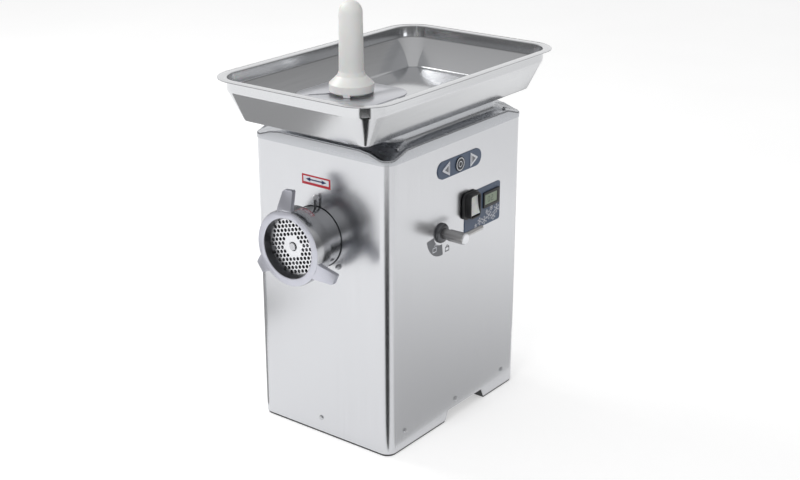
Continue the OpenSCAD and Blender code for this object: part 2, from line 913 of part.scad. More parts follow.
module gear_lid() {
    color("#75787b")
        difference() {
            union() {
                case_block(0, case_back - lid_t, case_back);
                on_axis()
                    disc(shaft_r + 17, case_back - 0.5, case_back + case_wall + bearing_t - 2);
                on_axis(axis_x, lay_z)
                    disc(lay_r + 14, case_back - 0.5, case_back + case_wall + bearing_t - 2);
            }
            on_axis()
                disc(shaft_r + 12.08, case_back + 1, case_front);
            on_axis(axis_x, lay_z)
                disc(lay_r + 9.08, case_back + 1, case_front);
            on_axis(axis_x, motor_z)
                disc(motor_shaft_r + 8.02, case_back - lid_t - 1, case_front);
        }
}

module layshaft() {
    color("#8f9194")
        on_axis(axis_x, lay_z) {
            disc(lay_r, case_back + case_wall - 2, case_front - case_wall - 0.5);
            gear(teeth_lay, module_out, lay_r - 1, out_gear_at - gear_t - 1, out_gear_at + 1, 90);
        }
}

module layshaft_wheel() {
    color("#7f8285")
        on_axis(axis_x, lay_z)
            gear(teeth_wheel, module_in, lay_r + 0.02, in_gear_at - gear_t, in_gear_at,
                -90 + 180 / teeth_wheel);
}

module motor_shaft() {
    color("#8f9194")
        on_axis(axis_x, motor_z) {
            disc(motor_shaft_r, motor_back - 14, in_gear_at + 2);
            gear(teeth_motor, module_in, motor_shaft_r - 1, in_gear_at - gear_t - 1, in_gear_at + 1, 90);
        }
}

rotor_r = 32;
module motor_rotor() {
    color("#7a6a55")
        on_axis(axis_x, motor_z)
            ring(rotor_r, motor_shaft_r + 0.02, motor_back + 26, motor_front - 22);
}

module motor_stator() {
    color("#5f6266")
        on_axis(axis_x, motor_z) {
            ring(motor_r - 5.1, rotor_r + 0.6, motor_back + 26, motor_front - 22);
        }
    color("#a8622f")
        on_axis(axis_x, motor_z) {
            ring(motor_r - 12, rotor_r + 6, motor_front - 22, motor_front - 14);
            ring(motor_r - 12, rotor_r + 6, motor_back + 20, motor_back + 26);
        }
}

module motor_case() {
    color("#7c7f82")
        difference() {
            union() {
                on_axis(axis_x, motor_z) {
                    ring(motor_r, motor_r - 5, motor_back, motor_front);
                    difference() {
                        disc(motor_r - 4, motor_front - 8, motor_front - 0.05);
                        disc(motor_shaft_r + 8.02, motor_front - 9, motor_front + 1);
                    }
                    difference() {
                        disc(motor_r - 4, motor_back + 6, motor_back + 18);
                        disc(motor_shaft_r + 8.02, motor_back + 7.9, motor_back + 19);
                        disc(motor_shaft_r + 1, motor_back, motor_back + 19);
                    }
                }
                for (s = [-1, 1])
                    translate([axis_x + s * 38 - 10, front_y - motor_front + 20, shelf_z])
                        cube([20, motor_len - 34, 32]);
            }
            on_axis(axis_x, motor_z)
                disc(motor_r - 3, motor_back - 1, motor_back + 6);
            on_axis(axis_x, motor_z)
                disc(motor_r - 5, motor_back + 18, motor_front - 8);
        }
}

module motor_fan() {
    color("#303236")
        on_axis(axis_x, motor_z) {
            ring(14, motor_shaft_r + 0.02, motor_back - 12, motor_back - 2);
            for (i = [0 : 7])
                rotate(45 * i)
                    translate([12, -1, motor_back - 12])
                        cube([36, 2, 10]);
        }
}

module fan_cowl() {
    color("#5b5e61")
        on_axis(axis_x, motor_z)
            difference() {
                disc(motor_r + 2, motor_back - cowl_len, motor_back + 8);
                disc(motor_r + 0.3, motor_back - cowl_len + 2, motor_back + 9);
                for (i = [0 : 11])
                    rotate(30 * i)
                        translate([16, -3, motor_back - cowl_len - 1])
                            cube([34, 6, 4]);
            }
}

shelf_y0 = front_y - case_front - 12;
shelf_y1 = front_y - motor_back + 4;
module shelf() {
    span = 200;
    color("#b2b5b8") {
        translate([axis_x - span / 2, shelf_y0, shelf_z - shelf_t])
            cube([span, shelf_y1 - shelf_y0, shelf_t]);
        for (s = [-1, 1], y = [shelf_y0, shelf_y1 - post])
            translate([axis_x + s * (span / 2 - post / 2) - post / 2, y, base_floor])
                difference() {
                    cube([post, post, shelf_z - shelf_t - base_floor]);
                    translate([2, 2, -1])
                        cube([post - 4, post - 4, shelf_z]);
                }
    }
}

// ---- refrigeration ----

module compressor() {
    foot_z = base_floor + 8;
    color("#202225")
        translate([axis_x, comp_y, 0]) {
            rotate_extrude()
                polygon([[0, foot_z + 2], [comp_r - 10, foot_z + 2], [comp_r - 2, foot_z + 8],
                    [comp_r, foot_z + 16], [comp_r, comp_top - 38], [comp_r - 4, comp_top - 18],
                    [comp_r - 16, comp_top - 5], [comp_r - 30, comp_top], [0, comp_top]]);
            difference() {
                translate([-64, -44, foot_z])
                    cube([128, 88, 3]);
                for (x = [-1, 1], y = [-1, 1])
                    translate([x * 56, y * 36, 0])
                        cylinder(h = 40, r = 4.2);
            }
        }
}

module compressor_mounts() {
    color("#2f3033")
        translate([axis_x, comp_y, 0])
            for (x = [-1, 1], y = [-1, 1])
                translate([x * 56, y * 36, base_floor])
                    rotate_extrude()
                        polygon([[2, 0], [8, 0], [8, 7.9], [4, 7.9], [4, 13], [2, 13]]);
}

module condenser() {
    fins = 18;
    step = cond_w / (fins + 1);
    color("#9da1a4")
        translate([axis_x, cond_y, base_floor]) {
            for (i = [0 : fins])
                translate([-cond_w / 2 + i * step, -cond_t / 2, 0])
                    cube([1, cond_t, cond_h]);
            for (k = [0 : 5])
                translate([-cond_w / 2 - 6, k % 2 == 0 ? -6 : 6, 14 + k * 22])
                    rotate([0, 90, 0])
                        cylinder(h = cond_w + 12, r = 4);
        }
}

fan_z = base_floor + cond_h / 2;
module condenser_fan() {
    color("#d6d8da")
        translate([axis_x, fan_y, fan_z])
            rotate([90, 0, 0]) {
                ring(16, 3.05, -4, 12);
                for (i = [0 : 4])
                    rotate(72 * i)
                        translate([14, 0, 4])
                            rotate([28, 0, 0])
                                translate([0, -14, -1])
                                    cube([fan_r - 14, 28, 2]);
            }
}

module fan_motor() {
    color("#3c3f43")
        translate([axis_x, fan_y, 0]) {
            translate([0, 0, fan_z])
                rotate([90, 0, 0]) {
                    disc(24, 14, 42);
                    disc(3, -3, 14);
                }
            translate([-20, -42, base_floor])
                cube([40, 24, fan_z - base_floor - 20]);
        }
}

module pipes() {
    side_x = 96;
    low_bend = comp_top + 14;
    coil_top = coil_point(coil_steps * coil_turns);
    coil_foot = coil_point(0);
    away_y = throat_y + 12;
    color("#b87345") {
        bent_tube([[axis_x + 20, comp_y, comp_top + 0.05], [axis_x + 20, comp_y, low_bend],
            [side_x, comp_y, low_bend], [side_x, throat_y, coil_top[2]],
            [axis_x + coil_top[0] + 3.2, throat_y, coil_top[2]]], 3);
        bent_tube([[axis_x - 20, comp_y, comp_top + 0.05], [axis_x - 20, comp_y, low_bend],
            [-114, comp_y, low_bend], [-114, cond_y - 6, low_bend - 20],
            [-114, cond_y - 6, base_floor + 14],
            [axis_x - cond_w / 2 - 6.2, cond_y - 6, base_floor + 14]], 3);
        bent_tube([[axis_x + cond_w / 2 + 6.2, cond_y + 6, base_floor + 124],
            [114, cond_y + 6, base_floor + 124], [114, away_y, base_floor + 160],
            [114, away_y, coil_foot[2] - 12], [axis_x + coil_foot[0], away_y, coil_foot[2] - 12],
            [axis_x + coil_foot[0], throat_y + 1, coil_foot[2] - 5.2]], 2);
        translate([114, away_y, 210])
            cylinder(h = 70, r = 9);
    }
}

// ---- controls ----

module control_box() {
    color("#3b3e42")
        translate([-half_w + sheet_t + 0.1, 20, axis_z + 14])
            difference() {
                cube([44, 130, 100]);
                translate([3, 3, 3])
                    cube([50, 124, 94]);
            }
    color("#d8dadc")
        translate([-half_w + sheet_t + 3.2, 32, axis_z + 28])
            cube([34, 46, 70]);
    color("#54585d")
        translate([-half_w + sheet_t + 3.2, 90, axis_z + 30])
            cube([30, 44, 60]);
}

keypad_r = keypad_w / 2;
stop_r = 12.5;
arrow_in = 30;
arrow_out = 51;
arrow_half = 12;
plate_lift = 1.5;
arrow_points = [[arrow_in, -arrow_half], [arrow_out - 1.5, -1.2], [arrow_out - 1.5, 1.2],
    [arrow_in, arrow_half]];

module arrow_shape(side, grow) {
    mirror([side < 0 ? 1 : 0, 0, 0])
        polygon([[arrow_in - grow, -arrow_half - 1.6 * grow], [arrow_out - 1.5 + grow, -1.2 - grow / 2],
            [arrow_out - 1.5 + grow, 1.2 + grow / 2], [arrow_in - grow, arrow_half + 1.6 * grow]]);
}

button_y = -1;
module button_shafts(grow) {
    on_side(button_y, keypad_z)
        for (x = [-37, 0, 37])
            translate([x, 0, 0])
                disc(4 + grow, -20, 20);
}

module keypad_plate() {
    color("#54647d")
        on_side(0, keypad_z)
            difference() {
                linear_extrude(plate_lift)
                    round_rect(keypad_len, keypad_w, keypad_r - 0.01);
                for (s = [-1, 1])
                    translate([button_y, 0, 0.5])
                        linear_extrude(5)
                            arrow_shape(s, easy);
                translate([button_y, 0, 0])
                    disc(stop_r + easy, 0.5, 5);
                for (x = [-37, 0, 37])
                    translate([x + button_y, 0, 0])
                        disc(4 + easy, -1, 5);
            }
}

module arrow_button(side) {
    color("#e6e8f2")
        on_side(button_y, keypad_z) {
            translate([0, 0, 0.5 + button_travel + face_gap])
                linear_extrude(plate_lift - 0.2)
                    arrow_shape(side, 0);
            translate([side * 37, 0, 0])
                disc(4, -7.5 + button_travel, 1 + button_travel);
        }
}

module button_back() {
    arrow_button(-1);
}

module button_forward() {
    arrow_button(1);
}

module button_stop() {
    color("#2b3340")
        on_side(button_y, keypad_z) {
            disc(stop_r, 0.5 + button_travel + face_gap, 0.3 + button_travel + face_gap + plate_lift);
            disc(4, -7.5 + button_travel, 1 + button_travel);
        }
}

module keypad_board() {
    color("#2d6b45")
        on_side(0, keypad_z)
            translate([-60, -13, -14])
                cube([120, 26, 2]);
    color("#d6d8da")
        on_side(button_y, keypad_z)
            for (x = [-37, 0, 37])
                translate([x - 5, -5, -12])
                    cube([10, 10, 4]);
    color("#9a9da0")
        on_side(0, keypad_z)
            for (x = [-54, 54])
                translate([x, 0, 0])
                    disc(2.5, -12, -sheet_t - 0.05);
}

thermo_y = panel_y + 24.5;
thermo_z = panel_z + 10.8;
thermo_w = 49;
thermo_tall = 28.5;
lens_at = -2.2;
switch_y = panel_y - 39;
switch_z = panel_z + 15;
switch_w = 31;
switch_tall = 43;
switch_out = 14;

module thermometer_cut(grow) {
    on_side(thermo_y, thermo_z)
        translate([-22 - grow, -12 - grow, -20])
            cube([44 + 2 * grow, 24 + 2 * grow, 40]);
}

module switch_cut(grow) {
    on_side(switch_y, switch_z)
        translate([-11 - grow, -16 - grow, -40])
            cube([22 + 2 * grow, 32 + 2 * grow, 60]);
}

module control_panel() {
    color("#56677f")
        difference() {
            on_side(panel_y, panel_z)
                linear_extrude(1.2)
                    round_rect(panel_len, panel_tall, 5);
            thermometer_cut(easy);
            switch_cut(easy);
        }
}

module thermometer() {
    color("#23292e")
        on_side(thermo_y, thermo_z)
            difference() {
                union() {
                    translate([0, 0, 1.25])
                        linear_extrude(2.6)
                            round_rect(thermo_w, thermo_tall, 2);
                    translate([-22, -12, -14])
                        cube([44, 24, 16]);
                }
                translate([lens_at - 18.4, -9, 2.6])
                    cube([36.8, 18, 5]);
            }
}

module display_lens() {
    color("#8fa08c")
        on_side(thermo_y, thermo_z)
            translate([lens_at - 18.2, -8.8, 2.65])
                cube([36.4, 17.6, 0.6]);
}

module switch_body() {
    color("#17191c")
        on_side(switch_y, switch_z)
            difference() {
                union() {
                    translate([0, 0, 1.25])
                        linear_extrude(3.5)
                            round_rect(switch_w + 16, switch_tall + 4, 12);
                    translate([0, 0, 1.25])
                        linear_extrude(switch_out - 1.25)
                            round_rect(switch_w, switch_tall, 7);
                    translate([-10.8, -15.8, -24])
                        cube([21.6, 31.6, 27]);
                }
                translate([0, 0, 2.6])
                    linear_extrude(20)
                        round_rect(switch_w - 6, switch_tall - 6, 3);
            }
}

rocker_tilt = -9;
rocker_axis = 7;
module switch_rocker() {
    rocker_w = switch_w - 7;
    rocker_tall = switch_tall - 9;
    color("#eceef0")
        on_side(switch_y, switch_z)
            translate([-rocker_w / 2, 0, rocker_axis])
                rotate([0, 90, 0])
                    cylinder(h = rocker_w, r = 3.4);
    color("#eceef0")
        on_side(switch_y, switch_z)
            translate([0, 0, rocker_axis])
                rotate([rocker_tilt, 0, 0])
                    translate([-rocker_w / 2, 0, 0])
                        rotate([90, 0, 90])
                            linear_extrude(rocker_w)
                                polygon([[-rocker_tall / 2 + 1, 4.5], [-6, 3.4], [0, 3.1], [6, 3.4],
                                    [rocker_tall / 2 - 1, 4.5], [rocker_tall / 2 - 1.5, 1],
                                    [5, -3], [-5, -3], [-rocker_tall / 2 + 1.5, 1]]);
}

boss_r = 17;
module lever_boss() {
    color("#34363a")
        on_side(-lever_y, lever_z)
            rotate_extrude()
                polygon([[9 + running, -8], [12.9, -8], [12.9, 0.05], [boss_r, 0.05],
                    [boss_r, 2.5], [boss_r - 1.4, 5], [boss_r - 4, 6.6], [9 + running, 7.2]]);
}

cam_x = axis_x + housing_out_r + 0.6;
module lock_lever() {
    inner = half_w - cam_x;
    color("#77787a")
        on_side(-lever_y, lever_z) {
            rotate_extrude()
                polygon([[0, -inner + 6], [9, -inner + 6], [9, 18], [10, 18.6], [10, lever_out - 1.6],
                    [8.6, lever_out], [0, lever_out]]);
            translate([4.5, 0, 0])
                disc(12, -inner, -inner + 8);
        }
}

module lever_rod() {
    color("#dcdddf")
        on_side(-lever_y, lever_z)
            translate([9.5, 0, lever_out - 12])
                rotate([0, 90, 0])
                    rotate_extrude()
                        polygon([[0, 0.6], [3.8, 0.6], [3.8, rod_len - 10.5], [3, rod_len - 9.5],
                            [0, rod_len - 9.5]]);
}

module labels() {
    color("#b8222e")
        on_axis()
            translate([0, 94, 0])
                linear_extrude(flat_t)
                    square([60, 17], center = true);
    color("#84868a")
        on_side(-lever_y, lever_z)
            linear_extrude(flat_t)
                difference() {
                    circle(40);
                    circle(21);
                    rotate(-83)
                        translate([-60, 0])
                            square([120, 60]);
                    rotate(8)
                        translate([-60, 0])
                            square([120, 60]);
                }
}

module one_screw(r, h, shank) {
    button_head(r, h);
    disc(2.4, -shank, 0.5);
}

module screws() {
    color("#b9bbbe") {
        for (y = side_screws) {
            translate([half_w + 0.05, y, screw_z])
                rotate([0, 90, 0])
                    one_screw(4.4, 2.6, 9);
            translate([-half_w - 0.05, y, screw_z])
                rotate([0, -90, 0])
                    one_screw(4.4, 2.6, 9);
        }
        translate([axis_x, front_y - 0.05, screw_z - 5])
            rotate([90, 0, 0])
                one_screw(4.4, 2.6, 9);
        for (x = [-100, 100])
            translate([x, half_d + sheet_t + 0.1, screw_z - 5])
                rotate([-90, 0, 0])
                    one_screw(4.4, 2.6, 9);
        for (p = rear_screws)
            translate([p[0], half_d + sheet_t + 0.1, p[1]])
                rotate([-90, 0, 0])
                    one_screw(4.4, 2.6, 1.2);
        on_axis()
            stud_places()
                translate([0, 0, 0.05]) {
                    disc(2.4, -1.6, 1);
                    rotate_extrude()
                        polygon([[0, 0], [4.6, 0], [4.4, 2.4], [3.4, 4.6], [1.6, 5.8], [0, 6]]);
                }
        for (x = [-1, 1], y = [-1, 1])
            translate([x * cover_screw[0], y * cover_screw[1], top + cover_band + 0.05]) {
                button_head(3.6, 2);
                disc(1.9, -8, 0.5);
            }
    }
}

module cable_gland() {
    color("#1f2022")
        translate([gland_x, half_d + sheet_t + 0.1, gland_z])
            rotate([-90, 0, 0])
                rotate_extrude()
                    polygon([[4.5, -14], [8, -14], [8, 0], [12, 0], [12, 6], [9, 9], [8, 16],
                        [6, 18], [4.5, 18]]);
}

base_frame();
feet();
body_shell();
rear_panel();
top_cover();
seals();
tray();
tray_spout();
guard_plate();
pestle();
cold_housing();
feed_chute();
insulation();
evaporator_coil();
head_barrel();
index_pin();
ring_nut();
cutting_plate();
plate_key();
knife();
auger();
auger_stud();
output_shaft();
output_gear();
shaft_seal();
shaft_bearings();
gear_case();
gear_lid();
layshaft();
layshaft_wheel();
motor_shaft();
motor_rotor();
motor_stator();
motor_case();
motor_fan();
fan_cowl();
shelf();
compressor();
compressor_mounts();
condenser();
condenser_fan();
fan_motor();
pipes();
control_box();
keypad_plate();
keypad_board();
button_back();
button_stop();
button_forward();
control_panel();
thermometer();
display_lens();
switch_body();
switch_rocker();
lever_boss();
lock_lever();
lever_rod();
labels();
cable_gland();
screws();
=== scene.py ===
import json
import math

import bmesh
import bpy
from mathutils import Euler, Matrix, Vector


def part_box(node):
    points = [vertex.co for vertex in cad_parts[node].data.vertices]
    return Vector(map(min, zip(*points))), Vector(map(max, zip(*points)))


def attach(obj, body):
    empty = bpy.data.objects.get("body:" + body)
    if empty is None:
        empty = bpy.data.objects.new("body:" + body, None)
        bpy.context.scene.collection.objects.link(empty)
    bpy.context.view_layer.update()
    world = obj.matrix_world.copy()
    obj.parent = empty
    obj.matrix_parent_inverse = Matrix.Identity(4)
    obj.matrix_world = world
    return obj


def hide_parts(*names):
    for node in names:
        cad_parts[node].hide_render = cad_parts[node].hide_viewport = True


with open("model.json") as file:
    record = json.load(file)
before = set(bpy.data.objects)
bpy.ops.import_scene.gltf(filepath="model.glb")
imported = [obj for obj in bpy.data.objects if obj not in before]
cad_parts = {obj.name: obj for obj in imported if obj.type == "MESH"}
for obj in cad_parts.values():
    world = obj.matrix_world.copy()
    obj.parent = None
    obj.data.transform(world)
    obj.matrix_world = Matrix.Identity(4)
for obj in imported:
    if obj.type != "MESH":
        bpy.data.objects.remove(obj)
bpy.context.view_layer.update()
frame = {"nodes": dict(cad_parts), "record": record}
nodes = frame["nodes"]
MM = 0.001

# Places and sizes in mm.
SIDE_X = 142                    # the casing's right side
FRONT_Y = -191                  # the casing's front
AXIS_X, AXIS_Z = -6, 364        # the head's axis
THROAT_Y = -98                  # centre of the feed throat
COVER_X, COVER_Y = 143, 192     # the cover's half width and half depth
COVER_Z, STEP_Z = 509, 529      # the cover's lower edge, and the foot of its raised pad
PAD_Z = 547.9                   # top of the pad
COVER_HOLE = 38.8               # radius of the cover's hole
TRAY_X, TRAY_Y, TRAY_R = 157, 257, 42   # the tray's inner outline: half sizes and corner radius
TRAY_LOW, TRAY_FLOOR = 548.1, 549.3     # underside and top of the tray's floor
KEYPAD = (-1, 468.5)            # centre of the keypad on the right side

body_of = {node: body for body, held in frame["record"]["behaviour"]["bodies"].items() for node in held}


# ---- materials ----

def tone(value):
    """A screen colour from 0 to 255, as the linear value that the shader takes."""
    c = value / 255
    return c / 12.92 if c <= 0.04045 else ((c + 0.055) / 1.055) ** 2.4


def shade(r, g, b):
    """A screen colour as the four linear values of a colour socket."""
    return (tone(r), tone(g), tone(b), 1.0)


class Nodes:
    """A material's node tree, with short ways to add nodes and join them."""

    def __init__(self, name):
        self.material = bpy.data.materials.new(name)
        self.material.use_nodes = True
        self.tree = self.material.node_tree
        self.shader = self.tree.nodes["Principled BSDF"]

    def add(self, kind, **settings):
        node = self.tree.nodes.new(kind)
        for key, value in settings.items():
            setattr(node, key, value)
        return node

    def join(self, source, target):
        self.tree.links.new(source, target)

    def place(self, stretch=(1, 1, 1)):
        """Object coordinates in metres, scaled by stretch."""
        where = self.add("ShaderNodeTexCoord")
        mapping = self.add("ShaderNodeMapping")
        mapping.inputs["Scale"].default_value = stretch
        self.join(where.outputs["Object"], mapping.inputs["Vector"])
        return mapping.outputs["Vector"]

    def noise(self, scale, detail=3.0, rough=0.5, stretch=(1, 1, 1)):
        node = self.add("ShaderNodeTexNoise")
        node.inputs["Scale"].default_value = scale
        node.inputs["Detail"].default_value = detail
        node.inputs["Roughness"].default_value = rough
        self.join(self.place(stretch), node.inputs["Vector"])
        return node.outputs["Fac"]

    def spread(self, value, low, high, start=0.3, end=0.7):
        """A value from start to end, spread over low to high."""
        node = self.add("ShaderNodeMapRange")
        node.inputs["From Min"].default_value = start
        node.inputs["From Max"].default_value = end
        node.inputs["To Min"].default_value = low
        node.inputs["To Max"].default_value = high
        self.join(value, node.inputs["Value"])
        return node.outputs["Result"]

    def mix(self, factor, first, second):
        node = self.add("ShaderNodeMix", data_type="RGBA")
        for socket, value in ((node.inputs[0], factor), (node.inputs[6], first), (node.inputs[7], second)):
            if hasattr(value, "node"):
                self.join(value, socket)
            else:
                socket.default_value = value
        return node.outputs[2]

    def maths(self, operation, first, second=0.0):
        node = self.add("ShaderNodeMath", operation=operation)
        for socket, value in ((node.inputs[0], first), (node.inputs[1], second)):
            if hasattr(value, "node"):
                self.join(value, socket)
            else:
                socket.default_value = value
        return node.outputs[0]

    def bump(self, height, strength, distance):
        node = self.add("ShaderNodeBump")
        node.inputs["Strength"].default_value = strength
        node.inputs["Distance"].default_value = distance
        self.join(height, node.inputs["Height"])
        self.join(node.outputs["Normal"], self.shader.inputs["Normal"])

    def set(self, **values):
        for key, value in values.items():
            self.shader.inputs[key.replace("_", " ")].default_value = value


def steel(name, light, dark, rough, grain="Z", fine=900.0, depth=0.00002, smudge=0.05):
    """Stainless steel: grain lines along one axis, with faint cloudy smears in the finish."""
    m = Nodes(name)
    along = {"X": (0.02, 1, 1), "Y": (1, 0.02, 1), "Z": (1, 1, 0.02), "-": (1, 1, 1)}[grain]
    lines = m.noise(fine, 4.0, 0.65, along)
    cloud = m.noise(6.0, 2.0, 0.5)
    m.join(m.mix(m.spread(lines, 0.0, 1.0), dark, light), m.shader.inputs["Base Color"])
    ripple = m.maths("ADD", m.spread(lines, rough - smudge * 0.5, rough + smudge * 0.5),
                     m.spread(cloud, -smudge * 0.5, smudge * 0.5))
    m.join(ripple, m.shader.inputs["Roughness"])
    m.bump(lines, 0.15, depth)
    m.set(Metallic=1.0)
    return m.material


def plastic(name, light, dark, rough, fine=2500.0, depth=0.00003, gloss=0.5):
    """Moulded plastic or paint with a fine grain and slight colour change."""
    m = Nodes(name)
    grain = m.noise(fine, 2.0, 0.6)
    cloud = m.noise(18.0, 3.0, 0.55)
    m.join(m.mix(m.spread(cloud, 0.0, 1.0), dark, light), m.shader.inputs["Base Color"])
    m.join(m.spread(grain, rough - 0.04, rough + 0.06), m.shader.inputs["Roughness"])
    m.bump(grain, 0.25, depth)
    m.set(Specular_IOR_Level=gloss)
    return m.material


SATIN = steel("satin_sheet", shade(207, 208, 211), shade(204, 205, 208), 0.24, "Z", 260, 0.000002, 0.02)
COVER = steel("cover_sheet", shade(190, 192, 196), shade(187, 189, 193), 0.27, "X", 90, 0.0000001, 0.01)
PAN = steel("tray_sheet", shade(208, 209, 211), shade(202, 203, 205), 0.15, "Y", 400, 0.000003, 0.03)
BLASTED = steel("blasted_steel", shade(206, 207, 216), shade(196, 197, 206), 0.42, "-", 1500, 0.00001)
GUARD = steel("guard_sheet", shade(208, 209, 214), shade(200, 201, 206), 0.32, "X", 700, 0.000004)
TURNED = steel("turned_steel", shade(196, 197, 200), shade(182, 183, 186), 0.2, "-", 900, 0.00001)
GROUND = steel("ground_steel", shade(230, 231, 234), shade(220, 221, 224), 0.3, "X", 1500, 0.000005)
DARK_METAL = steel("dark_metal", shade(110, 111, 114), shade(92, 93, 96), 0.35, "-", 900, 0.00001)
SLEEVE = steel("sleeve_steel", shade(204, 203, 203), shade(188, 187, 187), 0.36, "-", 900, 0.00001)
CAST = plastic("cast_metal", shade(118, 120, 123), shade(98, 100, 103), 0.55, 900, 0.0001)
COPPER = steel("copper_tube", shade(205, 142, 104), shade(180, 118, 82), 0.35, "-", 400, 0.00002)
BLACK = plastic("black_coat", shade(32, 33, 35), shade(24, 25, 27), 0.42)
RUBBER = plastic("rubber", shade(44, 44, 46), shade(34, 34, 36), 0.75, 1500, 0.00005, 0.3)
FOAM = plastic("foam", shade(222, 216, 196), shade(204, 198, 176), 0.9, 700, 0.0003, 0.2)
POLY = plastic("white_poly", shade(247, 247, 245), shade(241, 241, 239), 0.34, 1200, 0.00001)
POLY.node_tree.nodes["Principled BSDF"].inputs["Subsurface Weight"].default_value = 0.15
POLY.node_tree.nodes["Principled BSDF"].inputs["Subsurface Scale"].default_value = 0.01
SLATE = plastic("slate_film", shade(84, 100, 125), shade(77, 92, 117), 0.4, 2500, 0.00001)
WHITE = plastic("white_print", shade(236, 238, 244), shade(228, 230, 238), 0.4, 2500, 0.00001)
GREEN = plastic("circuit_board", shade(50, 110, 74), shade(38, 92, 60), 0.45)
LCD = plastic("display", shade(150, 166, 142), shade(142, 158, 135), 0.25, 2500, 0.00001)
INK = plastic("display_ink", shade(48, 58, 46), shade(40, 50, 38), 0.4, 2500, 0.00001)
NAVY = plastic("dark_button", shade(30, 36, 46), shade(24, 30, 40), 0.4, 2500, 0.00001)
BLUE = plastic("arrow_print", shade(34, 44, 96), shade(28, 38, 86), 0.45, 2500, 0.00001)
RED = plastic("red_print", shade(196, 40, 56), shade(184, 34, 48), 0.45, 2500, 0.00001)
GREY = plastic("grey_print", shade(134, 136, 141), shade(126, 128, 133), 0.5, 2500, 0.00001)

LOOKS = {
    SLEEVE: ["lever_rod"],
    SATIN: ["body_shell", "rear_panel"],
    COVER: ["top_cover"],
    PAN: ["tray", "tray_spout", "feed_chute"],
    BLASTED: ["ring_nut"],
    GUARD: ["guard_plate"],
    TURNED: ["head_barrel", "auger", "auger_stud", "screws", "shaft_bearings"],
    GROUND: ["cutting_plate", "knife", "plate_key"],
    DARK_METAL: ["index_pin", "lever_boss", "lock_lever", "output_shaft", "layshaft", "motor_shaft",
                 "output_gear", "layshaft_wheel", "motor_stator", "motor_rotor", "shelf"],
    CAST: ["cold_housing", "gear_case", "gear_lid", "motor_case", "fan_cowl", "condenser",
           "condenser_fan", "fan_motor"],
    COPPER: ["evaporator_coil", "pipes"],
    BLACK: ["base_frame", "compressor", "switch_body", "thermometer", "cable_gland", "control_box",
            "motor_fan"],
    RUBBER: ["feet", "seals", "compressor_mounts", "shaft_seal"],
    FOAM: ["insulation"],
    POLY: ["pestle", "switch_rocker"],
    SLATE: ["keypad_plate", "control_panel"],
    WHITE: ["button_back", "button_forward"],
    GREEN: ["keypad_board"],
    LCD: ["display_lens"],
    NAVY: ["button_stop"],
    RED: ["labels"],
}
home = {}
for material, names in LOOKS.items():
    for name in names:
        home[name] = material
        nodes[name].data.materials.clear()
        nodes[name].data.materials.append(material)
missed = sorted(set(nodes) - set(home))
if missed:
    raise RuntimeError("nodes with no material: " + ", ".join(missed))


# ---- shapes ----

def piece(name, points, faces, material, body, *replaced, weld=True):
    """A mesh from points in mm, shaded smooth across its gentle angles."""
    mesh = bpy.data.meshes.new(name)
    mesh.from_pydata([(p[0] * MM, p[1] * MM, p[2] * MM) for p in points], [], faces)
    bm = bmesh.new()
    bm.from_mesh(mesh)
    if weld:
        bmesh.ops.remove_doubles(bm, verts=bm.verts, dist=1e-7)
    bmesh.ops.recalc_face_normals(bm, faces=bm.faces)
    bm.to_mesh(mesh)
    bm.free()
    mesh.materials.append(material)
    mesh.shade_smooth()
    mesh.set_sharp_from_angle(angle=math.radians(32))
    obj = bpy.data.objects.new(name, mesh)
    bpy.context.scene.collection.objects.link(obj)
    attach(obj, body)
    if replaced:
        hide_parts(*replaced)
    return obj


def soften(node, width, body, turn=30):
    """A node's shape with its sharp edges rounded over by width mm."""
    mesh = nodes[node].data.copy()
    mesh.name = node + "_soft"
    bm = bmesh.new()
    bm.from_mesh(mesh)
    bmesh.ops.remove_doubles(bm, verts=bm.verts, dist=2e-6)
    bmesh.ops.dissolve_limit(bm, angle_limit=math.radians(1.5), verts=bm.verts, edges=bm.edges)
    edges = [e for e in bm.edges if len(e.link_faces) == 2 and e.calc_face_angle(0) > math.radians(turn)]
    bmesh.ops.bevel(bm, geom=edges, offset=width * MM, offset_type="OFFSET", segments=2, profile=0.5,
                    affect="EDGES", clamp_overlap=True)
    bm.to_mesh(mesh)
    bm.free()
    mesh.shade_smooth()
    mesh.set_sharp_from_angle(angle=math.radians(40))
    obj = bpy.data.objects.new(node + "_soft", mesh)
    bpy.context.scene.collection.objects.link(obj)
    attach(obj, body)
    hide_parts(node)
    return obj


def corner_loop(half_x, half_y, radius, steps=14, run=12):
    """Points round a rectangle with round corners, the same number at every size."""
    radius = max(radius, 1.0)
    ends = []
    for k, (sx, sy) in enumerate(((1, 1), (-1, 1), (-1, -1), (1, -1))):
        cx, cy = sx * (half_x - radius), sy * (half_y - radius)
        ends.append([(cx + radius * math.cos(math.radians(90 * (k + i / steps))),
                      cy + radius * math.sin(math.radians(90 * (k + i / steps)))) for i in range(steps + 1)])
    points = []
    for k in range(4):
        points += ends[k]
        x0, y0 = ends[k][-1]
        x1, y1 = ends[(k + 1) % 4][0]
        points += [(x0 + (x1 - x0) * i / run, y0 + (y1 - y0) * i / run) for i in range(1, run)]
    return points


def hole_loop(outer, x, y, radius):
    """A circle whose points lie in line with the outer loop's, seen from its centre."""
    return [(x + radius * math.cos(math.atan2(p[1] - y, p[0] - x)),
             y + radius * math.sin(math.atan2(p[1] - y, p[0] - x))) for p in outer]


def skin(loops, closed=False):
    """Points and faces that join each loop to the next, and the last to the first if closed."""
    count = len(loops[0])
    points = [p for loop in loops for p in loop]
    faces = []
    rows = len(loops) if closed else len(loops) - 1
    for r in range(rows):
        a, b = r * count, ((r + 1) % len(loops)) * count
        faces += [(a + i, a + (i + 1) % count, b + (i + 1) % count, b + i) for i in range(count)]
    return points, faces


def side(y, z):
    """Local places on the right side: along, up and outwards."""
    return lambda a, b, c: (SIDE_X + c, y + a, z + b)


